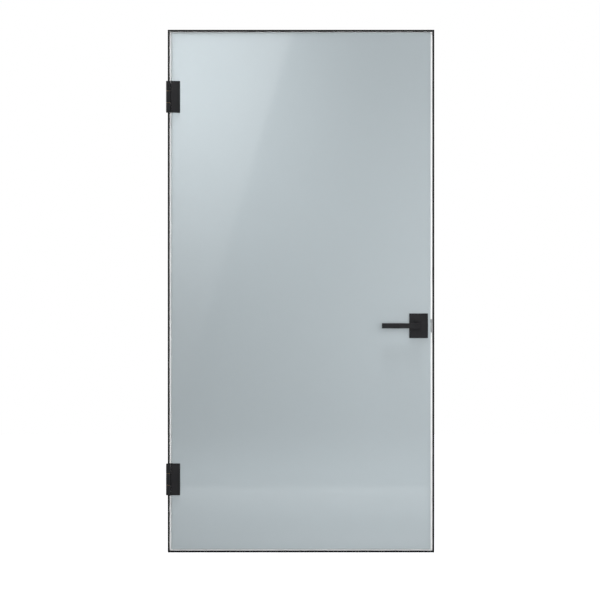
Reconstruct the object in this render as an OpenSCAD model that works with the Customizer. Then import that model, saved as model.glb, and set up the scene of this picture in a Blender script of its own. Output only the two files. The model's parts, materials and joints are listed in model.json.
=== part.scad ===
// Glass door leaf on two clamp hinges, in a slim rebated metal frame with a lever latch.
// Origin: middle of the sill's underside. X runs along the wall, Y goes back through it, Z is up.
// The leaf opens towards -Y, and its hinges are on the -X side.

/* [Frame] */
// Width over the two jambs
frame_w = 1040; // [760:1:1400]
// Height over sill and head
frame_h = 2040; // [1700:1:2600]
// Depth of the frame bars, front to back
frame_d = 60; // [48:1:100]
// Width of the bar's face as seen from the front
face_w = 7; // [5.8:0.1:9]
// How far the stop steps in past the face
stop_w = 10; // [8:0.1:16]
// Wall of the hollow part of the bar
bar_wall = 2; // [1.5:0.1:3]
// Width of the groove that the seal is pressed into
groove_w = 3; // [2:0.1:4]
// Depth of that groove
groove_deep = 4; // [3:0.1:6]

/* [Leaf] */
// Thickness of the glass
glass_t = 8; // [6:0.1:12]
// How far the glass lies behind the frame's front
glass_setback = 2; // [1:0.1:6]
// Gap between glass and jamb, each side
side_gap = 7; // [5.5:0.1:9]
// Gap between glass and head
top_gap = 3; // [2:0.1:8]
// Gap between glass and sill
bottom_gap = 6; // [3:0.1:12]
// Ground edge of the glass
glass_arris = 1; // [0.5:0.1:2]
// Space behind the glass for the seal
seal_space = 4; // [3:0.1:6]

/* [Hinges] */
// Height of a hinge
hinge_h = 124; // [90:1:180]
// Middle of the upper hinge below the frame's top
upper_hinge_drop = 262; // [150:1:500]
// Middle of the lower hinge above the floor
lower_hinge_rise = 286; // [150:1:500]
// Diameter of the hinge barrel
barrel_d = 18; // [16:0.5:24]
// Pin axis inside the frame's outer edge
axis_inset = 2.5; // [0:0.1:4]
// How far the hinge reaches in from the frame's outer edge
hinge_reach = 48.2; // [44:0.1:80]
// Diameter of the hinge pin
pin_d = 8; // [6:0.1:9]
// Height of the middle knuckle
mid_knuckle_h = 45; // [30:1:60]
// Thickness of the front clamp on the glass
front_clamp_t = 9; // [8:0.5:14]
// Thickness of the back clamp on the glass
back_clamp_t = 6; // [5:0.5:10]
// Distance of the two clamp screws from the hinge's middle
clamp_screw_rise = 38; // [25:1:42]

/* [Lock] */
// Height of the lever above the floor
lever_rise = 885; // [700:1:1300]
// Spindle to the edge of the glass
backset = 52; // [46:0.5:80]
// Width of the front plate
plate_w = 73; // [70:1:90]
// Height of the front plate
plate_h = 96; // [90:1:140]
// Thickness of the front plate
plate_t = 8; // [7:0.5:12]
// Middle of the front plate past the spindle, towards the edge of the glass
plate_shift = 4.7; // [2:0.1:6]
// Length of the lever bar
lever_l = 149; // [100:1:180]
// Height of the lever bar
lever_h = 20; // [16:0.5:28]
// Thickness of the lever bar, front to back
lever_t = 18; // [12:0.5:26]
// Clear space between front plate and lever bar
lever_stand = 25; // [20:1:50]
// Depth of the lock case behind the glass
case_deep = 24; // [22:0.5:40]
// Side of the square spindle
spindle_s = 8; // [7:0.1:9]
// Travel of the latch bolt
latch_travel = 8; // [6:0.1:8]
// Height of the latch bolt
latch_h = 18; // [14:0.1:20]
// Thickness of the latch bolt
latch_t = 12; // [8:0.1:12]

/* [Hidden] */
$fn = 48;
// Overlap that keeps a cut from leaving a skin
eps = 0.01;
// Gap between a shaft and its hole, at the radius
running = 0.05;
// Gap between pieces that lie beside each other
beside = 0.3;
// Small chamfer on machined pieces
ease = 0.8;
// How far a cut runs past the face it opens, and a joined shape into its neighbour
over = 1;
// Chamfer at the rim of a pin, cap or screw head
rim_ease = 0.4;
// Free depth past the end of a screw in its hole
hole_spare = 1;

// Frame bar, measured in from its outer face and back from its front face
bar_w = face_w + stop_w;
stop_back = glass_setback + glass_t + seal_space;
chamber_back = stop_back + groove_deep + bar_wall;
groove_shift = 0.5;
groove_in = face_w + (stop_w - groove_w) / 2 - groove_shift;
port_d = 4.2;
port_outer_d = 7.6;
port_sunk = 0.4;
port_in = bar_wall + port_outer_d / 2 - port_sunk;
port_back = frame_d - bar_wall - port_outer_d / 2 + port_sunk;
front_y = -frame_d / 2;
left_x = -frame_w / 2;

// Corner screws
corner_screw_d = 4;
corner_screw_head_d = 8;
corner_screw_socket = 2.5;
corner_screw_bite = 24;
leg_screw_d = 3.5;
leg_screw_head_d = 6.4;
leg_screw_socket = 2;
// Wall fixings: holes through the outer wall, reached through capped holes in the inner wall
fixing_count = 4;
fixing_end = 150;
fixing_pitch = (frame_h - 2 * fixing_end) / (fixing_count - 1);
fixing_r = 3.25;
access_r = 6.2;
access_clear = 1;
fixing_back = port_back - port_outer_d / 2 - access_clear - access_r;
cap_flange = 1;
cap_plug = 1;
cap_rim = 1.5;
cap_flange_r = access_r + cap_rim;

// Seal: a pad on the stop, and a lip that leans over to meet the glass behind its edge
seal_side = 0.3;
seal_pad_h = 1.8;
seal_front = stop_back - seal_space + beside;
seal_lip_t = 0.8;
seal_lean = 4.6;
seal_overlap = 1.6;

// Leaf
glass_x = frame_w / 2 - face_w - side_gap;
glass_low = face_w + bottom_gap;
glass_high = frame_h - face_w - top_gap;
glass_front = front_y + glass_setback;
glass_back = glass_front + glass_t;
gasket_t = 1;
gasket_inset = 0.6;
glass_hole_r = 7;
gasket_black = "#2b2b2b";
sleeve_r = glass_hole_r - running * 2;

// Hinges
axis_x = left_x + axis_inset;
barrel_r = barrel_d / 2;
barrel_clear = 0.5;
axis_y = front_y - barrel_clear - barrel_r;
upper_hinge_z = frame_h - upper_hinge_drop;
lower_hinge_z = lower_hinge_rise;
hinge_zs = [lower_hinge_z, upper_hinge_z];
knuckle_space = 1;
hinge_plate_t = 3.5;
hinge_plate_x = left_x + face_w;
hinge_edge_x = left_x + hinge_reach;
plate_clear = 1.5;
clamp_left_x = max(axis_x + barrel_r + barrel_clear, hinge_plate_x + hinge_plate_t + plate_clear);
clamp_front = glass_front - gasket_t - front_clamp_t;
neck_clear = 0.8;
neck_lap = 3;
bush_play = 0.2;
bush_flange_t = knuckle_space - bush_play;
bush_wall = 1.5;
bush_r = pin_d / 2 + bush_wall;
bush_rim = 1;
bush_flange_r = barrel_r - bush_rim;
bush_l = mid_knuckle_h / 3;
end_cap_rim = 2;
end_cap_r = pin_d / 2 + end_cap_rim;
end_cap_t = 2.5;
barrel_ease = 1.5;
pin_ease = 0.6;
jamb_screw_d = 5;
jamb_screw_head_d = 8.4;
jamb_screw_socket = 3;
jamb_screw_short = 0.5;
jamb_screw_y = (front_y + glass_back) / 2;
jamb_screw_end = 16;
jamb_screw_rise = hinge_h / 2 - jamb_screw_end;
clamp_screw_d = 6;
clamp_screw_head_d = 11;
clamp_screw_socket = 4;
clamp_hole_end = 2;
back_clamp_clear = 3;
back_clamp_x = left_x + bar_w + back_clamp_clear;
clamp_screw_x = (back_clamp_x + hinge_edge_x) / 2;

// Lock
spindle_x = glass_x - backset;
spindle_z = lever_rise;
plate_x = spindle_x + plate_shift;
plate_front = glass_front - gasket_t - plate_t;
case_front = glass_back + gasket_t;
case_back = case_front + case_deep;
case_wall = 2.5;
case_left = plate_x - plate_w / 2;
case_clear = 5;
case_right = frame_w / 2 - bar_w - case_clear;
case_floor_y = case_front + case_wall;
case_lid_y = case_back - case_wall;
faceplate_t = 2;
faceplate_h = 50;
faceplate_side = 0.5;
faceplate_screw_d = 3;
faceplate_screw_head_d = 5.4;
faceplate_screw_socket = 2;
faceplate_screw_end = 7;
faceplate_screw_rise = faceplate_h / 2 - faceplate_screw_end;
bar_ease = 1;
neck_r = lever_h / 2 - bar_ease;
trunnion_r = 8;
lever_bush_r = 10;
socket_play = 0.2;
socket_s = spindle_s + socket_play;
hub_wall = 2.2;
hub_r = socket_s / sqrt(2) + hub_wall;
latch_y = case_front + case_deep / 2;
faceplate_d = 2 * (case_lid_y - latch_y - faceplate_side);
grub_d = 5;
grub_socket = 2.6;
grub_socket_deep = 2;
grub_sunk = 0.5;
grub_l = neck_r - spindle_s / 2 - grub_sunk;
bush_flange_back = 2;
bush_flange_out = 3;
spindle_ease = 0.5;
spindle_spare = 1;
// Degrees that the lever turns to draw the bolt back
lever_swing = 40;
arm_r = latch_travel / (lever_swing * PI / 180);
arm_end_r = 2.5;
arm_t = 6;
tail_clear = 0.2;
tail_t = 4;
tail_low = hub_r + 2 * beside;
bridge_clear = 1.5;
tail_bridge_low = arm_r + arm_end_r + bridge_clear;
hub_clear = 2;
latch_left = spindle_x + hub_r + latch_travel + hub_clear;
latch_reach = 4;
latch_tip = frame_w / 2 - face_w + latch_reach;
latch_bevel = 8;
bolt_play = 0.15;
latch_spring_drop = 6;
latch_spring_z = -(hub_r + latch_spring_drop);
latch_spring_r = 3;
latch_spring_turns = 8;
latch_wire = 1;
latch_seat_in = 14;
latch_seat_x = spindle_x - latch_seat_in;
latch_seat_t = 3;
latch_seat_h = 9;
spigot_l = 8;
lug_t = 4;
lever_arm_l = 23;
lever_arm_h = 6;
lever_arm_t = 4.4;
lever_arm_end = 3;
lever_arm_clear = 1;
lever_arm_y = case_lid_y - lever_arm_clear - lever_arm_t / 2;
lever_stop_t = 4;
lever_spring_r = 2.4;
lever_spring_turns = 9;
lever_wire = 1;
lever_foot_w = 8;
lever_foot_h = 10;
lever_seat_z = -(plate_h / 2 - lever_foot_h);
case_screw_d = 5;
case_screw_head_d = 9;
case_screw_head_h = 3.5;
case_screw_socket = 4;
case_screw_socket_deep = 2;
case_screw_end = 1;
case_screw_hole_end = 3;
case_screw_before = 8;
case_screw_in = 13;
case_screw_drop = 12;
case_screw_xs = [spindle_x - case_screw_before, case_right - case_screw_in];
case_screw_rise = plate_h / 2 - case_screw_drop;
plate_boss_r = 6;
plate_boss_in = 0.5;
spindle_hole_r = 13;
cover_screw_d = 3;
cover_screw_head_d = 6;
cover_screw_socket = 2;
cover_screw_l = 12;
cover_post_r = 3.5;
cover_post_side = 3.4;
cover_post_in = case_wall + cover_post_side;
cover_xs = [case_left + cover_post_in, case_right - cover_post_in];
cover_post_rise = plate_h / 2 - cover_post_in;

// Strike
strike_t = 1.5;
strike_h = 50;
strike_setback = 1;
strike_x = frame_w / 2 - face_w;
notch_end = 0.5;
notch_h = strike_h + 2 * notch_end;
notch_clear = 3;
notch_back = latch_y + latch_t / 2 + notch_clear;
window_above = 1;
window_before = 0.8;
window_behind = 1;
strike_window_h = latch_h + 2 * window_above;
strike_window_front = latch_y - latch_t / 2 - window_before;
strike_screw_d = 4;
strike_screw_head_d = 7;
strike_screw_socket = 2.5;
strike_screw_end = 8;
strike_screw_rise = strike_h / 2 - strike_screw_end;
strike_screw_y = front_y + face_w;

// Coil springs
wire_sides = 8;
rings_per_turn = 12;

// Screws: share of the head that the socket goes down, and width of the point to the shank
socket_share = 0.7;
point_share = 0.7;
point_len = 0.25;

frame_black = "#1d1e1f";
hardware_black = "#222324";
steel_grey = "#b4b7b9";
nylon_white = "#d9d9d4";
bush_bronze = "#c9a45b";
bush_grey = "#3a3a3a";
seal_white = "#f1f3f3";
glass_tint = [0.72, 0.79, 0.82, 0.6];

// ---------- shared shapes ----------

// Rectangle with its corners cut off, about its middle
module eased_rect(w, h, c) {
    polygon([
        [-w / 2 + c, -h / 2], [w / 2 - c, -h / 2], [w / 2, -h / 2 + c], [w / 2, h / 2 - c],
        [w / 2 - c, h / 2], [-w / 2 + c, h / 2], [-w / 2, h / 2 - c], [-w / 2, -h / 2 + c]
    ]);
}

// Box with all twelve edges chamfered, about its middle
module eased_box(size, c) {
    intersection() {
        linear_extrude(size.z, center = true) eased_rect(size.x, size.y, c);
        rotate([90, 0, 0]) linear_extrude(size.y, center = true) eased_rect(size.x, size.z, c);
        rotate([90, 0, 90]) linear_extrude(size.x, center = true) eased_rect(size.y, size.z, c);
    }
}

// The same box between two corners
module eased_between(low, high, c = ease) {
    translate((low + high) / 2) eased_box(high - low, c);
}

// Plain box between two corners
module between(low, high) {
    translate(low) cube(high - low);
}

// Everything inside runs along +Y from the given point instead of +Z
module along_y(at) {
    translate(at) rotate([-90, 0, 0]) children();
}

// Everything inside runs along +X from the given point instead of +Z
module along_x(at) {
    translate(at) rotate([0, 90, 0]) children();
}

// Countersunk screw with its head's flat at z = 0 and its point at z = length
module countersunk(d, head_d, length, socket) {
    head_h = (head_d - d) / 2;
    difference() {
        union() {
            cylinder(d1 = head_d, d2 = d, h = head_h);
            cylinder(d = d, h = length - d * point_len);
            translate([0, 0, length - d * point_len])
                cylinder(d1 = d, d2 = d * point_share, h = d * point_len);
        }
        translate([0, 0, -eps]) cylinder(d = socket, h = head_h * socket_share + eps, $fn = 6);
    }
}

// The hole that such a screw seats in
module countersunk_hole(d, head_d, length) {
    head_h = (head_d - d) / 2;
    play = running * 2;
    translate([0, 0, -eps]) cylinder(d = head_d + play + 2 * eps, h = eps * 2);
    cylinder(d1 = head_d + play, d2 = d + play, h = head_h);
    translate([0, 0, -eps]) cylinder(d = d + play, h = length + eps);
}

// Cylinder with a chamfer at its lower and upper rims
module eased_rod(r, h, low_c, high_c) {
    if (low_c > 0) cylinder(r1 = r - low_c, r2 = r, h = low_c);
    translate([0, 0, low_c]) cylinder(r = r, h = h - low_c - high_c);
    if (high_c > 0) translate([0, 0, h - high_c]) cylinder(r1 = r, r2 = r - high_c, h = high_c);
}

// Round wire wound into a helix about +Z
function coil_point(r, wire, rise, a, b) =
    [cos(a) * (r + wire / 2 * cos(b)), sin(a) * (r + wire / 2 * cos(b)), rise + wire / 2 * sin(b)];
module coil(r, wire, length, turns) {
    rings = turns * rings_per_turn;
    points = [
        for (i = [0 : rings])
            for (k = [0 : wire_sides - 1])
                coil_point(r, wire, wire / 2 + (length - wire) * i / rings,
                           i * 360 / rings_per_turn, k * 360 / wire_sides)
    ];
    sides = [
        for (i = [0 : rings - 1])
            for (k = [0 : wire_sides - 1])
                let (n = (k + 1) % wire_sides)
                [i * wire_sides + k, (i + 1) * wire_sides + k,
                 (i + 1) * wire_sides + n, i * wire_sides + n]
    ];
    start = [for (k = [0 : wire_sides - 1]) k];
    finish = [for (k = [wire_sides - 1 : -1 : 0]) rings * wire_sides + k];
    polyhedron(points, concat(sides, [start, finish]), convexity = 10);
}

// ---------- frame ----------

// Section of a frame bar: x in from its outer face, y back from its front face
module bar_section() {
    difference() {
        polygon([
            [0, 0], [face_w, 0], [face_w, stop_back], [bar_w, stop_back],
            [bar_w, frame_d], [0, frame_d]
        ]);
        difference() {
            translate([bar_wall, chamber_back])
                square([bar_w - 2 * bar_wall, frame_d - bar_wall - chamber_back]);
            translate([port_in, port_back]) circle(d = port_outer_d);
        }
        translate([port_in, port_back]) circle(d = port_d);
        translate([groove_in, stop_back - eps]) square([groove_w, groove_deep + eps]);
    }
}

// Where a screw goes through the -X jamb into the front leg of the sill and of the head
module leg_screw_places() {
    for (z = [face_w / 2, frame_h - face_w / 2])
        along_x([left_x, front_y + stop_back / 2, z]) children();
}

// Where a screw goes through the -X jamb into the screw port of the sill and of the head
module port_screw_places() {
    for (z = [port_in, frame_h - port_in])
        along_x([left_x, front_y + port_back, z]) children();
}

module corner_screw_set() {
    leg_screw_places()
        countersunk(leg_screw_d, leg_screw_head_d, face_w + corner_screw_bite, leg_screw_socket);
    port_screw_places()
        countersunk(corner_screw_d, corner_screw_head_d, bar_w + corner_screw_bite,
                    corner_screw_socket);
}

module corner_holes() {
    leg_screw_places() countersunk_hole(leg_screw_d, leg_screw_head_d, face_w + over);
    port_screw_places() countersunk_hole(corner_screw_d, corner_screw_head_d, bar_w + over);
}

module plain_jamb() {
    difference() {
        translate([left_x, front_y, 0]) linear_extrude(frame_h) bar_section();
        corner_holes();
        for (i = [0 : fixing_count - 1]) {
            along_x([left_x - eps, front_y + fixing_back, fixing_end + i * fixing_pitch])
                cylinder(r = fixing_r, h = bar_wall + 2 * eps);
            along_x([left_x + bar_w - bar_wall - eps, front_y + fixing_back,
                     fixing_end + i * fixing_pitch])
                cylinder(r = access_r, h = bar_wall + 2 * eps);
        }
    }
}

module left_jamb() {
    color(frame_black) difference() {
        plain_jamb();
        for (z = hinge_zs)
            hinge_screw_places(z)
                cylinder(d = jamb_screw_d + 2 * running, h = hinge_plate_t + face_w + hole_spare);
    }
}

module right_jamb() {
    color(frame_black) difference() {
        mirror([1, 0, 0]) plain_jamb();
        // room for the strike where the stop is cut away
        between([strike_x - stop_w - over, front_y + stop_back - over, spindle_z - notch_h / 2],
                [strike_x, notch_back, spindle_z + notch_h / 2]);
        // pocket for the end of the bolt
        between([strike_x - eps, strike_window_front, spindle_z - strike_window_h / 2],
                [frame_w / 2 - bar_wall, front_y + chamber_back + eps,
                 spindle_z + strike_window_h / 2]);
        strike_screw_places()
            countersunk_hole(strike_screw_d, strike_screw_head_d, strike_t + face_w + hole_spare);
    }
}

// A head or sill bar lying along the floor: its face leg runs between the jambs' faces, and its
// hollow part is cut short to meet the jambs' stops
module plain_rail() {
    face_l = frame_w - 2 * face_w;
    stop_l = frame_w - 2 * bar_w;
    difference() {
        union() {
            translate([0, front_y, 0]) rotate([0, -90, 0])
                linear_extrude(stop_l, center = true) bar_section();
            between([-face_l / 2, front_y, 0], [face_l / 2, front_y + stop_back, face_w]);
        }
        for (side = [0, 1])
            mirror([side, 0, 0])
                leg_screw_places()
                    cylinder(d = leg_screw_d + 2 * running,
                             h = face_w + corner_screw_bite + 2 * hole_spare);
    }
}

module sill_rail() {
    color(frame_black) plain_rail();
}

module head_rail() {
    color(frame_black) translate([0, 0, frame_h]) mirror([0, 0, 1]) plain_rail();
}

module corner_screws() {
    color(steel_grey)
        for (side = [0, 1])
            mirror([side, 0, 0]) corner_screw_set();
}

// Flush caps over the access holes of the wall fixings
module fixing_hole_caps() {
    color(frame_black)
        for (side = [0, 1])
            for (i = [0 : fixing_count - 1])
                mirror([side, 0, 0])
                    along_x([left_x + bar_w, front_y + fixing_back, fixing_end + i * fixing_pitch]) {
                        eased_rod(cap_flange_r, cap_flange, 0, rim_ease);
                        translate([0, 0, -bar_wall - cap_plug])
                            cylinder(r = access_r - 2 * running, h = bar_wall + cap_plug + eps);
                    }
}

// ---------- seal ----------

// Section of the seal: foot in the groove, pad on the stop and a lip that meets the glass
module seal_section() {
    left = face_w + seal_side;
    right = bar_w - seal_side;
    pad = stop_back - seal_pad_h;
    tip = face_w + side_gap + seal_overlap;
    polygon([
        [left, stop_back], [left, pad], [tip - seal_lean, pad], [tip - seal_lip_t, seal_front],
        [tip, seal_front], [tip, seal_front + seal_lip_t],
        [tip - seal_lean + 2 * seal_lip_t, pad], [right, pad], [right, stop_back],
        [groove_in + groove_w - running, stop_back],
        [groove_in + groove_w - running, stop_back + groove_deep - beside],
        [groove_in + running, stop_back + groove_deep - beside],
        [groove_in + running, stop_back]
    ]);
}

module upright_seal(low, high) {
    translate([left_x, front_y, low]) linear_extrude(high - low) seal_section();
}

module left_seal() {
    color(seal_white) upright_seal(bar_w, frame_h - bar_w);
}

// The strike parts the seal on the lock side
module right_seal() {
    color(seal_white) mirror([1, 0, 0]) {
        upright_seal(bar_w, spindle_z - notch_h / 2);
        upright_seal(spindle_z + notch_h / 2, frame_h - bar_w);
    }
}

// Seal of a rail, with its groove foot only as long as the rail's hollow part
module lying_seal() {
    difference() {
        translate([0, front_y, 0]) rotate([0, -90, 0])
            linear_extrude(frame_w - 2 * face_w - 2 * seal_side, center = true) seal_section();
        for (side = [0, 1])
            mirror([side, 0, 0])
                between([left_x, front_y + stop_back, 0],
                        [left_x + bar_w + seal_side, front_y + stop_back + groove_deep + over,
                         bar_w + over]);
    }
}

module bottom_seal() {
    color(seal_white) lying_seal();
}

module top_seal() {
    color(seal_white) translate([0, 0, frame_h]) mirror([0, 0, 1]) lying_seal();
}

// ---------- glass ----------

module glass_pane() {
    glass_h = glass_high - glass_low;
    color(glass_tint) difference() {
        translate([0, (glass_front + glass_back) / 2, (glass_low + glass_high) / 2])
            eased_box([2 * glass_x, glass_t, glass_h], glass_arris);
        for (z = hinge_zs)
            for (rise = [-clamp_screw_rise, clamp_screw_rise])
                along_y([clamp_screw_x, glass_front - over, z + rise])
                    cylinder(r = glass_hole_r, h = glass_t + 2 * over);
        for (x = case_screw_xs)
            for (rise = [-case_screw_rise, case_screw_rise])
                along_y([x, glass_front - over, spindle_z + rise])
                    cylinder(r = glass_hole_r, h = glass_t + 2 * over);
        along_y([spindle_x, glass_front - over, spindle_z])
            cylinder(r = spindle_hole_r, h = glass_t + 2 * over);
    }
}

// ---------- hinges ----------

// Where the three screws of a hinge's frame part go into the jamb
module hinge_screw_places(z) {
    for (rise = [-jamb_screw_rise, 0, jamb_screw_rise])
        translate([hinge_plate_x + hinge_plate_t, jamb_screw_y, z + rise])
            rotate([0, -90, 0]) children();
}

// Plate in the gap beside the glass, with an arm out to each outer knuckle
module hinge_frame_part(z) {
    knuckle_low = mid_knuckle_h / 2 + knuckle_space;
    plate_back = glass_back - beside;
    knuckle_l = hinge_h / 2 - knuckle_low;
    difference() {
        union() {
            between([hinge_plate_x, front_y, z - hinge_h / 2],
                    [hinge_plate_x + hinge_plate_t, plate_back, z + hinge_h / 2]);
            for (side = [-1, 1]) {
                low = side < 0 ? z - hinge_h / 2 : z + knuckle_low;
                between([hinge_plate_x, axis_y, low],
                        [hinge_plate_x + hinge_plate_t, front_y + over, low + knuckle_l]);
                translate([axis_x, axis_y, low])
                    eased_rod(barrel_r, knuckle_l, side < 0 ? barrel_ease : 0,
                              side < 0 ? 0 : barrel_ease);
            }
        }
        translate([axis_x, axis_y, z - hinge_h / 2 - over])
            cylinder(r = pin_d / 2 + running, h = hinge_h + 2 * over);
        for (end = [z - hinge_h / 2 - eps, z + hinge_h / 2 - end_cap_t - beside])
            translate([axis_x, axis_y, end])
                cylinder(r = end_cap_r + running, h = end_cap_t + beside + eps);
        hinge_screw_places(z)
            countersunk_hole(jamb_screw_d, jamb_screw_head_d, hinge_plate_t + over);
    }
}

module hinge_pin(z) {
    pin_l = hinge_h - 2 * (end_cap_t + 2 * beside);
    translate([axis_x, axis_y, z - pin_l / 2]) eased_rod(pin_d / 2, pin_l, pin_ease, pin_ease);
}

module hinge_front_clamp(z) {
    neck_back = front_y - neck_clear;
    neck_h = mid_knuckle_h;
    difference() {
        union() {
            eased_between([clamp_left_x, clamp_front, z - hinge_h / 2],
                          [hinge_edge_x, clamp_front + front_clamp_t, z + hinge_h / 2]);
            between([axis_x, clamp_front + ease, z - neck_h / 2],
                    [clamp_left_x + neck_lap, neck_back, z + neck_h / 2]);
            translate([axis_x, axis_y, z - neck_h / 2]) cylinder(r = barrel_r, h = neck_h);
        }
        translate([axis_x, axis_y, z - neck_h / 2 - over])
            cylinder(r = pin_d / 2 + beside, h = neck_h + 2 * over);
        for (low = [z - neck_h / 2 - eps, z + neck_h / 2 - bush_l - beside])
            translate([axis_x, axis_y, low])
                cylinder(r = bush_r + running, h = bush_l + beside + eps);
        for (rise = [-clamp_screw_rise, clamp_screw_rise])
            along_y([clamp_screw_x, clamp_front + clamp_hole_end, z + rise])
                cylinder(d = clamp_screw_d + 2 * running, h = front_clamp_t);
    }
}

module hinge_back_clamp(z) {
    low_y = glass_back + gasket_t;
    difference() {
        eased_between([back_clamp_x, low_y, z - hinge_h / 2],
                      [hinge_edge_x, low_y + back_clamp_t, z + hinge_h / 2]);
        for (rise = [-clamp_screw_rise, clamp_screw_rise])
            translate([clamp_screw_x, low_y + back_clamp_t, z + rise]) rotate([90, 0, 0])
                countersunk_hole(clamp_screw_d, clamp_screw_head_d, back_clamp_t + over);
    }
}

// Thin pad between a clamp and the glass, with holes for the clamp's screws
module hinge_gasket(z, x_low, y_low) {
    difference() {
        between([x_low + gasket_inset, y_low, z - hinge_h / 2 + gasket_inset],
                [hinge_edge_x - gasket_inset, y_low + gasket_t, z + hinge_h / 2 - gasket_inset]);
        for (rise = [-clamp_screw_rise, clamp_screw_rise])
            along_y([clamp_screw_x, y_low - over, z + rise])
                cylinder(r = glass_hole_r, h = gasket_t + 2 * over);
    }
}

module upper_hinge_frame_part() {
    color(hardware_black) hinge_frame_part(upper_hinge_z);
}

module lower_hinge_frame_part() {
    color(hardware_black) hinge_frame_part(lower_hinge_z);
}

module upper_hinge_pin() {
    color(steel_grey) hinge_pin(upper_hinge_z);
}

module lower_hinge_pin() {
    color(steel_grey) hinge_pin(lower_hinge_z);
}

module upper_hinge_front_clamp() {
    color(hardware_black) hinge_front_clamp(upper_hinge_z);
}

module lower_hinge_front_clamp() {
    color(hardware_black) hinge_front_clamp(lower_hinge_z);
}

module upper_hinge_back_clamp() {
    color(hardware_black) hinge_back_clamp(upper_hinge_z);
}

module lower_hinge_back_clamp() {
    color(hardware_black) hinge_back_clamp(lower_hinge_z);
}

module hinge_end_caps() {
    color(hardware_black)
        for (z = hinge_zs) {
            translate([axis_x, axis_y, z - hinge_h / 2])
                eased_rod(end_cap_r, end_cap_t, rim_ease, 0);
            translate([axis_x, axis_y, z + hinge_h / 2 - end_cap_t])
                eased_rod(end_cap_r, end_cap_t, 0, rim_ease);
        }
}

module hinge_jamb_screws() {
    color(steel_grey)
        for (z = hinge_zs)
            hinge_screw_places(z)
                countersunk(jamb_screw_d, jamb_screw_head_d,
                            hinge_plate_t + face_w - jamb_screw_short, jamb_screw_socket);
}

module hinge_front_gaskets() {
    color(gasket_black)
        for (z = hinge_zs)
            hinge_gasket(z, -glass_x, glass_front - gasket_t);
}

module hinge_back_gaskets() {
    color(gasket_black)
        for (z = hinge_zs)
            hinge_gasket(z, back_clamp_x, glass_back);
}

module hinge_clamp_screws() {
    head_y = glass_back + gasket_t + back_clamp_t;
    color(steel_grey)
        for (z = hinge_zs)
            for (rise = [-clamp_screw_rise, clamp_screw_rise])
                translate([clamp_screw_x, head_y, z + rise]) rotate([90, 0, 0])
                    countersunk(clamp_screw_d, clamp_screw_head_d,
                                head_y - clamp_front - clamp_hole_end - hole_spare,
                                clamp_screw_socket);
}

module hinge_glass_sleeves() {
    color(nylon_white)
        for (z = hinge_zs)
            for (rise = [-clamp_screw_rise, clamp_screw_rise])
                along_y([clamp_screw_x, glass_front, z + rise])
                    difference() {
                        cylinder(r = sleeve_r, h = glass_t);
                        translate([0, 0, -over])
                            cylinder(d = clamp_screw_d + 4 * running, h = glass_t + 2 * over);
                    }
}

// Flanged bushes at both ends of each middle knuckle
module hinge_bush() {
    difference() {
        union() {
            cylinder(r = bush_r, h = bush_l);
            translate([0, 0, bush_l]) cylinder(r = bush_flange_r, h = bush_flange_t);
        }
        translate([0, 0, -over])
            cylinder(r = pin_d / 2 + running, h = bush_l + bush_flange_t + 2 * over);
    }
}

module hinge_bushes() {
    color(bush_bronze)
        for (z = hinge_zs)
            for (side = [0, 1])
                translate([axis_x, axis_y, z]) mirror([0, 0, side])
                    translate([0, 0, mid_knuckle_h / 2 - bush_l]) hinge_bush();
}

// ---------- lock: what is fixed to the glass ----------

module case_screw_places(y) {
    for (x = case_screw_xs)
        for (rise = [-case_screw_rise, case_screw_rise])
            translate([x, y, spindle_z + rise]) children();
}

module lock_front_plate() {
    color(hardware_black) difference() {
        union() {
            eased_between([plate_x - plate_w / 2, plate_front, spindle_z - plate_h / 2],
                          [plate_x + plate_w / 2, plate_front + plate_t, spindle_z + plate_h / 2]);
            case_screw_places(plate_front + plate_t - over)
                rotate([-90, 0, 0])
                    cylinder(r = plate_boss_r, h = over + gasket_t + glass_t - plate_boss_in);
        }
        along_y([spindle_x, plate_front - over, spindle_z])
            cylinder(r = lever_bush_r + running, h = plate_t + 2 * over);
        case_screw_places(plate_front + case_screw_hole_end)
            rotate([-90, 0, 0])
                cylinder(d = case_screw_d + 2 * running, h = plate_t + gasket_t + glass_t);
    }
}

module lock_gasket(y_low, x_low, x_high) {
    difference() {
        between([x_low + gasket_inset, y_low, spindle_z - plate_h / 2 + gasket_inset],
                [x_high - gasket_inset, y_low + gasket_t, spindle_z + plate_h / 2 - gasket_inset]);
        case_screw_places(y_low - over)
            rotate([-90, 0, 0]) cylinder(r = glass_hole_r, h = gasket_t + 2 * over);
        along_y([spindle_x, y_low - over, spindle_z])
            cylinder(r = spindle_hole_r, h = gasket_t + 2 * over);
    }
}

module lock_front_gasket() {
    color(gasket_black)
        lock_gasket(glass_front - gasket_t, plate_x - plate_w / 2, plate_x + plate_w / 2);
}

module lock_back_gasket() {
    color(gasket_black) lock_gasket(glass_back, case_left, case_right);
}

// Posts in the corners of the case that the cover's screws go into
module cover_post_places(y) {
    for (x = cover_xs)
        for (rise = [-cover_post_rise, cover_post_rise])
            translate([x, y, spindle_z + rise]) children();
}

module bolt_hole(x_low, x_high) {
    half_t = latch_t / 2 + bolt_play;
    half_h = latch_h / 2 + bolt_play;
    between([x_low, latch_y - half_t, spindle_z - half_h],
            [x_high, latch_y + half_t, spindle_z + half_h]);
}

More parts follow.
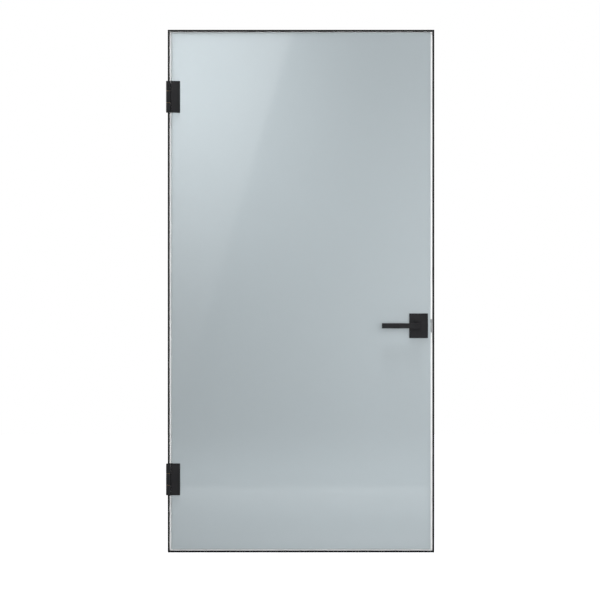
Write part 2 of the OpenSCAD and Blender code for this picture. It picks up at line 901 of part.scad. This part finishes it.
module lock_case() {
    low = spindle_z - plate_h / 2;
    high = spindle_z + plate_h / 2;
    inner_y = case_floor_y - over;
    arm_x = spindle_x - lever_arm_l;
    stop_low = spindle_z + lever_arm_h / 2 + beside;
    color(hardware_black) difference() {
        union() {
            difference() {
                between([case_left, case_front, low], [case_right, case_lid_y, high]);
                between([case_left + case_wall, case_floor_y, low + case_wall],
                        [case_right - case_wall, case_lid_y + over, high - case_wall]);
            }
            cover_post_places(case_floor_y - over)
                rotate([-90, 0, 0])
                    cylinder(r = cover_post_r, h = case_lid_y - case_floor_y + over);
            // seat of the latch spring
            between([latch_seat_x - latch_seat_t, inner_y,
                     spindle_z + latch_spring_z - latch_seat_h / 2],
                    [latch_seat_x, latch_y + latch_spring_r,
                     spindle_z + latch_spring_z + latch_seat_h / 2]);
            // foot of the lever spring
            between([arm_x - lever_foot_w / 2, inner_y, low + over],
                    [arm_x + lever_foot_w / 2, case_lid_y - beside, spindle_z + lever_seat_z]);
            // stop above the follower's long arm
            between([arm_x - lever_arm_end, inner_y, stop_low],
                    [arm_x + lever_arm_end, case_lid_y - beside, stop_low + lever_stop_t]);
        }
        bolt_hole(case_right - case_wall - over, case_right + over);
        along_y([spindle_x, case_front - over, spindle_z])
            cylinder(r = trunnion_r + running, h = case_wall + 2 * over);
        case_screw_places(case_front - over)
            rotate([-90, 0, 0])
                cylinder(d = case_screw_d + 4 * running, h = case_wall + 2 * over);
        cover_post_places(case_lid_y - cover_screw_l)
            rotate([-90, 0, 0])
                cylinder(d = cover_screw_d + 2 * running, h = cover_screw_l + over);
        faceplate_screw_places(case_right)
            rotate([0, -90, 0])
                cylinder(d = faceplate_screw_d + 2 * running, h = case_wall + 2 * hole_spare);
    }
}

module lock_cover() {
    color(hardware_black) difference() {
        intersection() {
            between([case_left, case_lid_y, spindle_z - plate_h / 2],
                    [case_right, case_back, spindle_z + plate_h / 2]);
            eased_between([case_left, case_lid_y - 2 * ease, spindle_z - plate_h / 2],
                          [case_right, case_back, spindle_z + plate_h / 2]);
        }
        along_y([spindle_x, case_lid_y - over, spindle_z])
            cylinder(r = lever_bush_r + running, h = case_wall + 2 * over);
        cover_post_places(case_back)
            rotate([90, 0, 0])
                countersunk_hole(cover_screw_d, cover_screw_head_d, case_wall + over);
    }
}

module lock_case_screws() {
    shank_l = case_floor_y - plate_front - case_screw_hole_end - case_screw_end;
    color(steel_grey)
        case_screw_places(case_floor_y) rotate([90, 0, 0]) {
            cylinder(d = case_screw_d, h = shank_l);
            difference() {
                translate([0, 0, -case_screw_head_h])
                    eased_rod(case_screw_head_d / 2, case_screw_head_h, rim_ease, 0);
                translate([0, 0, -case_screw_head_h - over])
                    cylinder(d = case_screw_socket, h = case_screw_socket_deep + over, $fn = 6);
            }
        }
}

module lock_cover_screws() {
    color(hardware_black)
        cover_post_places(case_back)
            rotate([90, 0, 0])
                countersunk(cover_screw_d, cover_screw_head_d,
                            case_wall + cover_screw_l - hole_spare, cover_screw_socket);
}

module faceplate_screw_places(x) {
    for (rise = [-faceplate_screw_rise, faceplate_screw_rise])
        translate([x, latch_y, spindle_z + rise]) children();
}

module latch_faceplate() {
    color(steel_grey) difference() {
        between([case_right, latch_y - faceplate_d / 2, spindle_z - faceplate_h / 2],
                [case_right + faceplate_t, latch_y + faceplate_d / 2, spindle_z + faceplate_h / 2]);
        bolt_hole(case_right - over, case_right + faceplate_t + over);
        faceplate_screw_places(case_right + faceplate_t)
            rotate([0, -90, 0])
                countersunk_hole(faceplate_screw_d, faceplate_screw_head_d, faceplate_t + over);
    }
}

module faceplate_screws() {
    color(steel_grey)
        faceplate_screw_places(case_right + faceplate_t)
            rotate([0, -90, 0])
                countersunk(faceplate_screw_d, faceplate_screw_head_d,
                            faceplate_t + case_wall + hole_spare, faceplate_screw_socket);
}

module lever_bush(length, flange) {
    difference() {
        union() {
            cylinder(r = lever_bush_r, h = length);
            if (flange > 0) cylinder(r = lever_bush_r + bush_flange_out, h = flange);
        }
        translate([0, 0, -over]) cylinder(r = trunnion_r + running, h = length + 2 * over);
    }
}

module front_lever_bush() {
    color(bush_grey) along_y([spindle_x, plate_front, spindle_z]) lever_bush(plate_t, 0);
}

module back_lever_bush() {
    color(bush_grey)
        translate([spindle_x, case_back + bush_flange_back, spindle_z]) rotate([90, 0, 0])
            lever_bush(bush_flange_back + case_wall, bush_flange_back);
}

// ---------- lock: what turns with the lever ----------

// Bar, neck and trunnion with its square socket. The neck starts at y = 0 and the bar is at -Y.
module lever(trunnion_l) {
    bar_back = -lever_stand;
    bar_front = bar_back - lever_t;
    socket_end = bar_back - lever_t / 2;
    difference() {
        union() {
            eased_between([lever_h / 2 - lever_l, bar_front, -lever_h / 2],
                          [lever_h / 2, bar_back, lever_h / 2], bar_ease);
            along_y([0, bar_back - over, 0]) cylinder(r = neck_r, h = lever_stand + over - beside);
            along_y([0, -over, 0]) cylinder(r = trunnion_r, h = over + trunnion_l);
        }
        between([-socket_s / 2, socket_end, -socket_s / 2],
                [socket_s / 2, trunnion_l + over, socket_s / 2]);
        translate([0, -lever_stand / 2, -neck_r - over])
            cylinder(d = grub_d + 2 * running, h = neck_r + over);
    }
}

module front_lever() {
    color(hardware_black)
        translate([spindle_x, plate_front, spindle_z]) lever(plate_t - beside);
}

module back_lever() {
    color(hardware_black)
        translate([spindle_x, case_back + bush_flange_back, spindle_z])
            mirror([0, 1, 0]) lever(bush_flange_back + case_wall - beside);
}

module lever_grub_screws() {
    front = plate_front - lever_stand / 2;
    back = case_back + bush_flange_back + lever_stand / 2;
    color(steel_grey)
        for (y = [front, back])
            translate([spindle_x, y, spindle_z - spindle_s / 2 - beside - grub_l])
                difference() {
                    cylinder(d = grub_d, h = grub_l);
                    translate([0, 0, -over])
                        cylinder(d = grub_socket, h = grub_socket_deep + over, $fn = 6);
                }
}

module spindle() {
    end = lever_stand + lever_t / 2 - spindle_spare;
    color(steel_grey)
        eased_between([spindle_x - spindle_s / 2, plate_front - end, spindle_z - spindle_s / 2],
                      [spindle_x + spindle_s / 2, case_back + bush_flange_back + end,
                       spindle_z + spindle_s / 2], spindle_ease);
}

// Hub on the spindle with a short arm up behind the bolt's tail and a long arm over the lever spring
module follower() {
    hub_front = case_floor_y + beside;
    hub_back = case_lid_y - 2 * beside;
    color(steel_grey) difference() {
        union() {
            along_y([spindle_x, case_front + beside, spindle_z])
                cylinder(r = trunnion_r, h = case_wall);
            along_y([spindle_x, hub_front, spindle_z]) cylinder(r = hub_r, h = hub_back - hub_front);
            between([spindle_x - arm_end_r, latch_y - arm_t / 2, spindle_z],
                    [spindle_x + arm_end_r, latch_y + arm_t / 2, spindle_z + arm_r]);
            along_y([spindle_x, latch_y - arm_t / 2, spindle_z + arm_r])
                cylinder(r = arm_end_r, h = arm_t);
            between([spindle_x - lever_arm_l - lever_arm_end, lever_arm_y - lever_arm_t / 2,
                     spindle_z - lever_arm_h / 2],
                    [spindle_x, lever_arm_y + lever_arm_t / 2, spindle_z + lever_arm_h / 2]);
        }
        between([spindle_x - socket_s / 2, case_front - over, spindle_z - socket_s / 2],
                [spindle_x + socket_s / 2, case_back, spindle_z + socket_s / 2]);
    }
}

module lever_spring() {
    top = -lever_arm_h / 2 - beside / 2;
    low = lever_seat_z + beside / 2;
    color(steel_grey)
        translate([spindle_x - lever_arm_l, lever_arm_y, spindle_z + low])
            coil(lever_spring_r, lever_wire, top - low, lever_spring_turns);
}

// ---------- lock: latch ----------

module latch_bolt() {
    y_low = latch_y - latch_t / 2;
    y_high = latch_y + latch_t / 2;
    tail_left = spindle_x - arm_end_r - tail_clear - tail_t;
    layer_low = latch_y - arm_t / 2;
    layer_high = latch_y + arm_t / 2;
    bridge_high = spindle_z + tail_bridge_low + tail_t;
    color(steel_grey)
        union() {
            // head, bevelled on the side that meets the frame as the leaf closes
            translate([0, 0, spindle_z - latch_h / 2]) linear_extrude(latch_h)
                polygon([
                    [latch_left, y_low], [latch_tip, y_low], [latch_tip, y_high - latch_bevel],
                    [latch_tip - latch_bevel, y_high], [latch_left, y_high]
                ]);
            // tail over the follower's arm, down to the face that the arm pushes
            between([latch_left, layer_low, spindle_z],
                    [latch_left + tail_t, layer_high, bridge_high]);
            between([tail_left, layer_low, spindle_z + tail_bridge_low],
                    [latch_left + tail_t, layer_high, bridge_high]);
            between([tail_left, layer_low, spindle_z + tail_low],
                    [tail_left + tail_t, layer_high, bridge_high]);
            // lug that the spring pushes, with a spigot to hold the spring
            between([latch_left, layer_low, spindle_z + latch_spring_z - latch_seat_h / 2],
                    [latch_left + lug_t, layer_high, spindle_z]);
            along_x([latch_left - spigot_l, latch_y, spindle_z + latch_spring_z])
                cylinder(r = latch_spring_r - latch_wire / 2 - beside, h = spigot_l + over);
        }
}

module latch_spring() {
    length = latch_left - latch_seat_x - beside;
    color(steel_grey)
        along_x([latch_seat_x + beside / 2, latch_y, spindle_z + latch_spring_z])
            coil(latch_spring_r, latch_wire, length, latch_spring_turns);
}

// ---------- strike ----------

module strike_screw_places() {
    for (rise = [-strike_screw_rise, strike_screw_rise])
        translate([strike_x - strike_t, strike_screw_y, spindle_z + rise])
            rotate([0, 90, 0]) children();
}

// Bent plate: one leg on the jamb's face in the gap, one across the cut in the stop
module strike_plate() {
    low = spindle_z - strike_h / 2;
    high = spindle_z + strike_h / 2;
    color(steel_grey) difference() {
        union() {
            between([strike_x - strike_t, front_y + strike_setback, low],
                    [strike_x, notch_back, high]);
            between([strike_x - stop_w + beside, notch_back - strike_t, low],
                    [strike_x, notch_back, high]);
        }
        between([strike_x - strike_t - over, strike_window_front,
                 spindle_z - strike_window_h / 2],
                [strike_x + over, latch_y + latch_t / 2 + window_behind,
                 spindle_z + strike_window_h / 2]);
        strike_screw_places()
            countersunk_hole(strike_screw_d, strike_screw_head_d, strike_t + over);
    }
}

module strike_screws() {
    color(steel_grey)
        strike_screw_places()
            countersunk(strike_screw_d, strike_screw_head_d, strike_t + face_w - hole_spare,
                        strike_screw_socket);
}

// ---------- what is drawn ----------

left_jamb();
right_jamb();
head_rail();
sill_rail();
corner_screws();
fixing_hole_caps();
left_seal();
right_seal();
top_seal();
bottom_seal();
upper_hinge_frame_part();
lower_hinge_frame_part();
upper_hinge_pin();
lower_hinge_pin();
hinge_end_caps();
hinge_jamb_screws();
strike_plate();
strike_screws();
glass_pane();
upper_hinge_front_clamp();
lower_hinge_front_clamp();
upper_hinge_back_clamp();
lower_hinge_back_clamp();
hinge_front_gaskets();
hinge_back_gaskets();
hinge_clamp_screws();
hinge_glass_sleeves();
hinge_bushes();
lock_front_plate();
lock_front_gasket();
lock_back_gasket();
lock_case();
lock_cover();
lock_case_screws();
lock_cover_screws();
latch_faceplate();
faceplate_screws();
front_lever_bush();
back_lever_bush();
lever_spring();
latch_spring();
front_lever();
back_lever();
spindle();
follower();
lever_grub_screws();
latch_bolt();
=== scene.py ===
"""Looks of a framed glass door: rounded hardware, finishes, a soft white studio and the camera."""

import json
import math

import bpy
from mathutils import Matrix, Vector

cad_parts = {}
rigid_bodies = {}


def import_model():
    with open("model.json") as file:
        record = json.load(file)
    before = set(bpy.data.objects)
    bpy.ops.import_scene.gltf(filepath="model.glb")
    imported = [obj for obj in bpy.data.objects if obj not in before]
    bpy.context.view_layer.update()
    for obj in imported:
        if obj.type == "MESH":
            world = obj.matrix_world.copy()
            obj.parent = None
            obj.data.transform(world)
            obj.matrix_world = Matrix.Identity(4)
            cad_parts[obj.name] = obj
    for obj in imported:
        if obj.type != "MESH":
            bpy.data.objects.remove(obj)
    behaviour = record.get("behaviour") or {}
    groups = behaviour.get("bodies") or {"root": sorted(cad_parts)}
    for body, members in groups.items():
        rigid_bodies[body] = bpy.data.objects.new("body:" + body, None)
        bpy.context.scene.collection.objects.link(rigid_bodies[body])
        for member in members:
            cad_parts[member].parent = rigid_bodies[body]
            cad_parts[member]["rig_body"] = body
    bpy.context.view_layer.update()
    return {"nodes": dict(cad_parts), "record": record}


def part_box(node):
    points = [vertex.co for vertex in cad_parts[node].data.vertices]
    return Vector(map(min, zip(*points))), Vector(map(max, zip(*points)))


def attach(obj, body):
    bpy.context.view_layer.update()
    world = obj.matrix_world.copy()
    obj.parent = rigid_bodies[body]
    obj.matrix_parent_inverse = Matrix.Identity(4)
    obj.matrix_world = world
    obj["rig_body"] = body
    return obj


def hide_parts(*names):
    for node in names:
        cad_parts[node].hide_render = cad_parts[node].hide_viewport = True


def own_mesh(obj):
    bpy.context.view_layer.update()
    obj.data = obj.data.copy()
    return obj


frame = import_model()
NODES = frame["nodes"]
MM = 0.001
MERGE_WITHIN = 0.002 * MM
SMOOTH_BELOW = math.radians(32.0)
ROUND_ABOVE = math.radians(30.0)
FLAT_BELOW = math.radians(0.5)
ROUND_STEPS = 3


# ---------- shader maths ----------

class Signal:
    """A node's output that takes part in Python expressions. Each operator adds a Math node."""

    def __init__(self, finish, socket):
        self.finish = finish
        self.socket = socket

    def math(self, operation, *others):
        values = dict(enumerate((self,) + others))
        return self.finish.node("ShaderNodeMath", {"operation": operation}, values)

    def __add__(self, other):
        return self.math("ADD", other)

    __radd__ = __add__

    def __sub__(self, other):
        return self.math("SUBTRACT", other)

    def __rsub__(self, other):
        return (self * -1.0) + other

    def __mul__(self, other):
        return self.math("MULTIPLY", other)

    __rmul__ = __mul__

    def __truediv__(self, other):
        return self.math("DIVIDE", other)

    def size(self):
        return self.math("ABSOLUTE")

    def rises(self, low, high):
        """0 below low, 1 above high and a smooth step between them."""
        return self.finish.node(
            "ShaderNodeMapRange",
            {"interpolation_type": "SMOOTHSTEP"},
            {"Value": self, "From Min": low, "From Max": high, "To Min": 0.0, "To Max": 1.0},
        )


class Finish:
    """One material or room light under construction."""

    def __init__(self, name, holders=bpy.data.materials):
        self.material = holders.new(name)
        self.material.use_nodes = True
        self.tree = self.material.node_tree
        self.tree.nodes.clear()

    def node(self, kind, settings=None, sockets=None, output=0):
        made = self.tree.nodes.new(kind)
        for name, value in (settings or {}).items():
            setattr(made, name, value)
        for name, value in (sockets or {}).items():
            if isinstance(value, Signal):
                self.tree.links.new(value.socket, made.inputs[name])
            else:
                made.inputs[name].default_value = value
        return Signal(self, made.outputs[output]) if made.outputs else None

    def place(self, stretch=(1.0, 1.0, 1.0)):
        """Where a point is on its piece, in metres."""
        point = self.node("ShaderNodeTexCoord", output="Object")
        return self.node("ShaderNodeMapping", sockets={"Vector": point, "Scale": stretch})

    def axes(self, point):
        """A point's or a direction's three numbers."""
        split = self.node("ShaderNodeSeparateXYZ", sockets={"Vector": point}).socket.node
        return [Signal(self, split.outputs[i]) for i in range(3)]

    def facing(self):
        """Which way the surface looks, in its piece's own axes."""
        return self.axes(self.node("ShaderNodeTexCoord", output="Normal"))

    def noise(self, scale, detail=2.0, rough=0.5, stretch=(1.0, 1.0, 1.0)):
        sockets = {"Vector": self.place(stretch), "Scale": scale, "Detail": detail, "Roughness": rough}
        return self.node("ShaderNodeTexNoise", sockets=sockets)

    def blend(self, factor, first, second):
        """A colour between two colours."""
        settings = {"data_type": "RGBA", "blend_type": "MIX"}
        colours = [c if isinstance(c, Signal) else (*c, 1.0) for c in (first, second)]
        return self.node("ShaderNodeMix", settings, {0: factor, 6: colours[0], 7: colours[1]}, output=2)

    def bump(self, height, depth, strength):
        sockets = {"Height": height, "Distance": depth, "Strength": strength}
        return self.node("ShaderNodeBump", sockets=sockets)

    def surface(self, **sockets):
        """Ends the material in one Principled shader. Underscores stand for the spaces in socket names."""
        named = {name.replace("_", " "): value for name, value in sockets.items()}
        for name, value in named.items():
            if isinstance(value, tuple) and len(value) == 3:
                named[name] = (*value, 1.0)
        return self.end(self.node("ShaderNodeBsdfPrincipled", sockets=named))

    def end(self, shader):
        self.node("ShaderNodeOutputMaterial", sockets={"Surface": shader})
        return self.material


# ---------- finishes ----------

def frame_coat():
    """Fine-textured dark powder coat on aluminium bars, with a little dust on what looks up."""
    f = Finish("frame_coat")
    texture = f.noise(1400.0, 3.0, 0.6)
    drift = f.noise(7.0, 3.0)
    facing_up = f.facing()[2].rises(0.5, 1.0)
    dust = facing_up * f.noise(60.0, 4.0, 0.7).rises(0.35, 0.75) * 0.4
    dark = f.blend(drift, (0.005, 0.005, 0.0055), (0.009, 0.009, 0.0095))
    return f.surface(
        Base_Color=f.blend(dust, dark, (0.07, 0.068, 0.066)),
        Roughness=0.40 + 0.12 * drift + 0.2 * dust,
        Normal=f.bump(texture, 0.04 * MM, 0.5),
        Specular_IOR_Level=0.15,
    )


def hardware_coat():
    """Smooth satin black coat on the cast hinges, lock and levers."""
    f = Finish("hardware_coat")
    drift = f.noise(45.0, 3.0)
    flow = f.noise(320.0, 2.0)
    handled = f.noise(90.0, 5.0, 0.65).rises(0.45, 0.8)
    return f.surface(
        Base_Color=f.blend(drift, (0.008, 0.008, 0.009), (0.013, 0.013, 0.014)),
        Roughness=0.34 + 0.1 * handled + 0.05 * drift,
        Normal=f.bump(flow, 0.02 * MM, 0.35),
        Specular_IOR_Level=0.25,
    )


def satin_steel():
    """Stainless steel with short brushed lines along the height."""
    f = Finish("satin_steel")
    lines = f.noise(900.0, 3.0, 0.6, (1.0, 1.0, 0.06))
    drift = f.noise(30.0, 3.0)
    return f.surface(
        Base_Color=f.blend(drift, (0.60, 0.61, 0.62), (0.72, 0.73, 0.74)),
        Metallic=0.6,
        Roughness=0.28 + 0.16 * lines,
        Normal=f.bump(lines, 0.03 * MM, 0.4),
    )


def white_silicone():
    """Soft white seal, slightly waxy and a little dusty in random patches."""
    f = Finish("white_silicone")
    drift = f.noise(18.0, 3.0)
    skin = f.noise(700.0, 2.0)
    dust = f.noise(110.0, 4.0, 0.7).rises(0.55, 0.85)
    clean = f.blend(drift, (0.90, 0.905, 0.91), (0.93, 0.935, 0.935))
    return f.surface(
        Base_Color=f.blend(dust * 0.25, clean, (0.66, 0.655, 0.64)),
        Roughness=0.5 + 0.12 * drift,
        Normal=f.bump(skin, 0.02 * MM, 0.4),
    )


def satin_glass():
    """Grey-blue glass with a satin body under a polished face; its ground edges are paler, partly their
    own whitish tone and partly a painted highlight.
    """
    f = Finish("satin_glass")
    drift = f.noise(1.3, 2.0)
    frost = f.noise(1800.0, 2.0)
    smudge = f.noise(14.0, 4.0, 0.6).rises(0.5, 0.8)
    # Edge faces and arrises: a paler colour, partly the ground glass's own tone and partly a painted
    # highlight along the edge
    edge = 1.0 - f.facing()[1].size().rises(0.7, 0.9)
    body = f.blend(drift, (0.425, 0.48, 0.505), (0.445, 0.50, 0.525))
    return f.surface(
        Base_Color=f.blend(edge, body, (0.66, 0.76, 0.75)),
        Roughness=0.38 + 0.05 * smudge + 0.15 * edge,
        Normal=f.bump(frost, 0.01 * MM, 0.25),
        Transmission_Weight=0.3,
        IOR=1.5,
        Coat_Weight=1.0,
        Coat_Roughness=0.03,
        Coat_IOR=1.52,
    )


def black_gasket():
    """Dense black fibre gasket, with its fibres showing in the cut edge."""
    f = Finish("black_gasket")
    fibres = f.noise(900.0, 4.0, 0.7, (1.0, 0.2, 1.0))
    return f.surface(
        Base_Color=f.blend(fibres, (0.012, 0.012, 0.012), (0.035, 0.034, 0.033)),
        Roughness=0.75 + 0.15 * fibres,
        Normal=f.bump(fibres, 0.06 * MM, 0.6),
    )


def pale_nylon():
    """Moulded pale nylon sleeves."""
    f = Finish("pale_nylon")
    flow = f.noise(160.0, 3.0)
    return f.surface(
        Base_Color=f.blend(flow, (0.62, 0.62, 0.59), (0.72, 0.72, 0.69)),
        Roughness=0.45 + 0.15 * flow,
        Normal=f.bump(flow, 0.03 * MM, 0.3),
    )


def dark_acetal():
    """Turned dark plastic bushes, with fine tool lines."""
    f = Finish("dark_acetal")
    lines = f.noise(1500.0, 2.0, 0.5, (1.0, 0.1, 1.0))
    return f.surface(
        Base_Color=f.blend(lines, (0.014, 0.014, 0.014), (0.03, 0.03, 0.03)),
        Roughness=0.38 + 0.1 * lines,
        Normal=f.bump(lines, 0.02 * MM, 0.4),
    )


def oiled_bronze():
    """Porous bearing bronze, darker where the oil stands."""
    f = Finish("oiled_bronze")
    pores = f.noise(1100.0, 3.0, 0.6)
    oil = f.noise(120.0, 3.0)
    return f.surface(
        Base_Color=f.blend(oil, (0.30, 0.19, 0.08), (0.50, 0.33, 0.14)),
        Metallic=0.9,
        Roughness=0.32 + 0.2 * pores,
        Normal=f.bump(pores, 0.03 * MM, 0.4),
    )


FINISHES = {
    "frame_powder_coat": frame_coat(),
    "hardware_powder_coat": hardware_coat(),
    "steel": satin_steel(),
    "seal_white": white_silicone(),
    "glass": satin_glass(),
    "gasket_black": black_gasket(),
    "sleeve_plastic": pale_nylon(),
    "bush_plastic": dark_acetal(),
    "bush_bronze": oiled_bronze(),
}
SLOT_OF = {part["node"]: part["material_slot"] for part in frame["record"]["subparts"]}


def put_on(piece, material):
    piece.data.materials.clear()
    piece.data.materials.append(material)


for name, node in NODES.items():
    put_on(node, FINISHES[SLOT_OF[name]])


# ---------- pieces with rounded edges ----------

def only(piece):
    """Makes this the one selected object."""
    bpy.ops.object.select_all(action="DESELECT")
    piece.select_set(True)
    bpy.context.view_layer.objects.active = piece


def stand_in(name, ending):
    """A merged copy of a CAD part, which rides with its body and is shown in its place."""
    source = NODES[name]
    only(source)
    bpy.ops.object.duplicate()
    piece = bpy.context.view_layer.objects.active
    piece.name = name + ending
    for key in [k for k in piece.keys() if k.startswith("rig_")]:
        del piece[key]
    piece.parent = None
    only(piece)
    if piece.data.has_custom_normals:
        bpy.ops.mesh.customdata_custom_splitnormals_clear()
    bpy.ops.object.mode_set(mode="EDIT")
    bpy.ops.mesh.select_all(action="SELECT")
    bpy.ops.mesh.remove_doubles(threshold=MERGE_WITHIN)
    bpy.ops.object.mode_set(mode="OBJECT")
    put_on(piece, FINISHES[SLOT_OF[name]])
    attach(piece, source["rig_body"])
    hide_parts(name)
    return piece


def rounded(name, radius):
    """A copy of a CAD part whose sharp edges are rounded."""
    piece = stand_in(name, "_rounded")
    bpy.ops.object.mode_set(mode="EDIT")
    bpy.ops.mesh.select_all(action="SELECT")
    bpy.ops.mesh.dissolve_limited(angle_limit=FLAT_BELOW)
    bpy.ops.object.mode_set(mode="OBJECT")
    soften = piece.modifiers.new("round", "BEVEL")
    soften.width = radius
    soften.segments = ROUND_STEPS
    soften.limit_method = "ANGLE"
    soften.angle_limit = ROUND_ABOVE
    soften.use_clamp_overlap = True
    bpy.ops.object.modifier_apply(modifier=soften.name)
    bpy.ops.object.shade_smooth_by_angle(angle=SMOOTH_BELOW)


def pressed_spring(name, axis, shortened_by):
    """A merged, smooth-shaded copy of a spring, shown in its place and riding with its body; it is not
    shortened.
    """
    low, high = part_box(name)
    length = (high - low).dot(Vector(axis))
    piece = stand_in(name, "_pressed")
    bpy.ops.object.shade_smooth_by_angle(angle=SMOOTH_BELOW)
    1.0 - shortened_by / length
    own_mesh(piece)


ROUNDED = {
    "front_lever": 0.9 * MM,
    "back_lever": 0.9 * MM,
    "upper_hinge_front_clamp": 0.6 * MM,
    "lower_hinge_front_clamp": 0.6 * MM,
    "upper_hinge_back_clamp": 0.6 * MM,
    "lower_hinge_back_clamp": 0.6 * MM,
    "upper_hinge_frame_part": 0.4 * MM,
    "lower_hinge_frame_part": 0.4 * MM,
    "lock_front_plate": 0.6 * MM,
    "lock_cover": 0.6 * MM,
    "lock_case": 0.4 * MM,
    "left_jamb": 0.4 * MM,
    "right_jamb": 0.4 * MM,
    "head_rail": 0.4 * MM,
    "strike_plate": 0.3 * MM,
    "latch_faceplate": 0.3 * MM,
}
for name, radius in ROUNDED.items():
    rounded(name, radius)

JOINTS = {joint["name"]: joint for joint in frame["record"]["behaviour"]["joints"]}
LATCH_TRAVEL = JOINTS["latch_slide"]["range_m"][1]
LEVER_ARM_DROP = 16.0 * MM
pressed_spring("latch_spring", (1.0, 0.0, 0.0), LATCH_TRAVEL)
pressed_spring("lever_spring", (0.0, 0.0, 1.0), LEVER_ARM_DROP)


# ---------- studio ----------

FRONT_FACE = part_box("left_jamb")[0].y
GLARE_AWAY = 5.6
EDGE_SLANT = 0.308
EDGE_AT_FLOOR = -0.655
EDGE_SOFT = 0.012
CAMERA_AWAY = 16.0
CAMERA_SIDE = -0.004
CAMERA_HEIGHT = 0.9855
VIEW_WIDTH = 2.3413
SENSOR = 36.0


def grey(level):
    return (level, level, level)


def stage_only(thing, **rays):
    """Hides a studio object from the kinds of rays that are named with False."""
    for kind, seen in rays.items():
        setattr(thing, "visible_" + kind, seen)


def pale_floor():
    """A white floor that glows a little to the eye, so that it meets the room without an edge."""
    f = Finish("pale_floor")
    drift = f.noise(0.8, 2.0)
    seen = f.node("ShaderNodeLightPath", output="Is Camera Ray")
    mirrored = f.node("ShaderNodeLightPath", output="Is Glossy Ray")
    bpy.ops.mesh.primitive_circle_add(vertices=96, radius=14.0, fill_type="NGON")
    floor = bpy.context.object
    floor.name = "pale_floor"
    put_on(floor, f.surface(
        Base_Color=f.blend(drift, grey(0.90), grey(0.92)),
        Roughness=0.7,
        Specular_IOR_Level=0.0,
        Emission_Color=seen * 1.0 + mirrored * 0.3,
        Emission_Strength=1.0,
    ))
    stage_only(floor)
    return floor


def upright_card(name, at_y, width, height, material, **rays):
    """A studio card that stands across the Y axis, seen only by the rays left on."""
    bpy.ops.mesh.primitive_plane_add(size=1.0)
    card = bpy.context.object
    card.name = name
    for corner in card.data.vertices:
        corner.co = Vector((corner.co.x * width, at_y, (corner.co.y + 0.5) * height))
    put_on(card, material)
    stage_only(card, camera=False, shadow=False, diffuse=False, volume_scatter=False, **rays)


def glare_card():
    """The dark side of the studio behind the camera, with one slanting soft window of light."""
    f = Finish("glare_card")
    # The card is laid out at the door's size, as the eye sees it mirrored in the glass
    scale = (CAMERA_AWAY + GLARE_AWAY) / CAMERA_AWAY
    x, _, z = f.axes(f.place())
    door_x = (x - CAMERA_SIDE) / scale + CAMERA_SIDE
    door_z = (z - CAMERA_HEIGHT) / scale + CAMERA_HEIGHT
    past_edge = door_x - EDGE_SLANT * door_z - EDGE_AT_FLOOR
    inside = 1.0 - past_edge.rises(-EDGE_SOFT, EDGE_SOFT)
    strength = door_z.rises(0.55, 2.1) * 1.1 + 0.25 * door_z.rises(0.3, 0.8)
    level = 0.06 + inside * strength
    return f.end(f.node("ShaderNodeEmission", sockets={"Color": level}))


def back_card():
    """Light behind the door that glows through the satin glass: high on the left, and by the floor."""
    f = Finish("back_card")
    x, _, z = f.axes(f.place())
    left = 1.0 - x.rises(-0.55, 0.35)
    high = z.rises(0.75, 2.0)
    low_band = z.rises(-0.1, 0.25) * (1.0 - z.rises(0.25, 0.5))
    level = 0.05 + 6.6 * left * high + 2.0 * low_band
    return f.end(f.node("ShaderNodeEmission", sockets={"Color": level}))


def area_light(name, place, aim, size, power):
    lamp = bpy.data.lights.new(name, "AREA")
    lamp.shape = "RECTANGLE"
    lamp.size, lamp.size_y = size
    lamp.energy = power
    thing = bpy.data.objects.new(name, lamp)
    bpy.context.scene.collection.objects.link(thing)
    thing.location = place
    thing.rotation_euler = (Vector(aim) - Vector(place)).to_track_quat("-Z", "Y").to_euler()
    stage_only(thing, camera=False, glossy=False, transmission=False)
    return thing


def keep_off(light, thing):
    """A light that passes this studio object by."""
    passed = bpy.data.collections.new(light.name + "_passes_by")
    passed.objects.link(thing)
    light.light_linking.receiver_collection = passed
    passed.collection_objects[0].light_linking.link_state = "EXCLUDE"


def white_room():
    """A room that is white to the eye, dim as a light, and dark in the glass's mirror image ahead."""
    room = Finish("white_room", bpy.data.worlds)
    bpy.context.scene.world = room.material
    room.material.cycles.sampling_method = "NONE"
    mirrored = room.node("ShaderNodeLightPath", output="Is Glossy Ray")
    lighting = room.node("ShaderNodeLightPath", output="Is Diffuse Ray")
    ahead = room.axes(room.node("ShaderNodeTexCoord", output="Generated"))[1] * -1.0
    dark_side = mirrored * ahead.rises(0.7, 0.95)
    level = 1.0 - 0.95 * dark_side - 0.92 * lighting
    shader = room.node("ShaderNodeBackground", sockets={"Color": level})
    room.node("ShaderNodeOutputWorld", sockets={"Surface": shader})


def camera():
    lens = bpy.data.cameras.new("camera")
    thing = bpy.data.objects.new("camera", lens)
    bpy.context.scene.collection.objects.link(thing)
    lens.sensor_width = SENSOR
    lens.lens = SENSOR * (CAMERA_AWAY + FRONT_FACE) / VIEW_WIDTH
    lens.clip_end = 200.0
    thing.location = (CAMERA_SIDE, -CAMERA_AWAY, CAMERA_HEIGHT)
    thing.rotation_euler = (math.radians(90.0), 0.0, 0.0)
    bpy.context.scene.camera = thing


bpy.context.scene.view_settings.view_transform = "Standard"
white_room()
floor = pale_floor()
upright_card("glare_card", -GLARE_AWAY, 9.0, 6.0, glare_card(), transmission=False)
upright_card("back_card", 0.35, 5.0, 4.0, back_card(), glossy=False)
top_light = area_light("top_light", (0.1, -2.2, 9.0), (0.1, -0.03, 0.9), (1.6, 3.0), 510.0)
area_light("side_light", (0.85, -1.4, 1.05), (0.3, 0.0, 1.05), (1.2, 1.2), 15.0)
area_light("front_light", (0.0, -9.0, 1.1), (0.0, 0.0, 1.0), (2.0, 2.0), 442.0)
back_light = area_light("back_light", (-0.8, 6.0, 2.6), (0.0, 0.0, 1.0), (3.0, 3.0), 320.0)
keep_off(top_light, floor)
keep_off(back_light, floor)
camera()
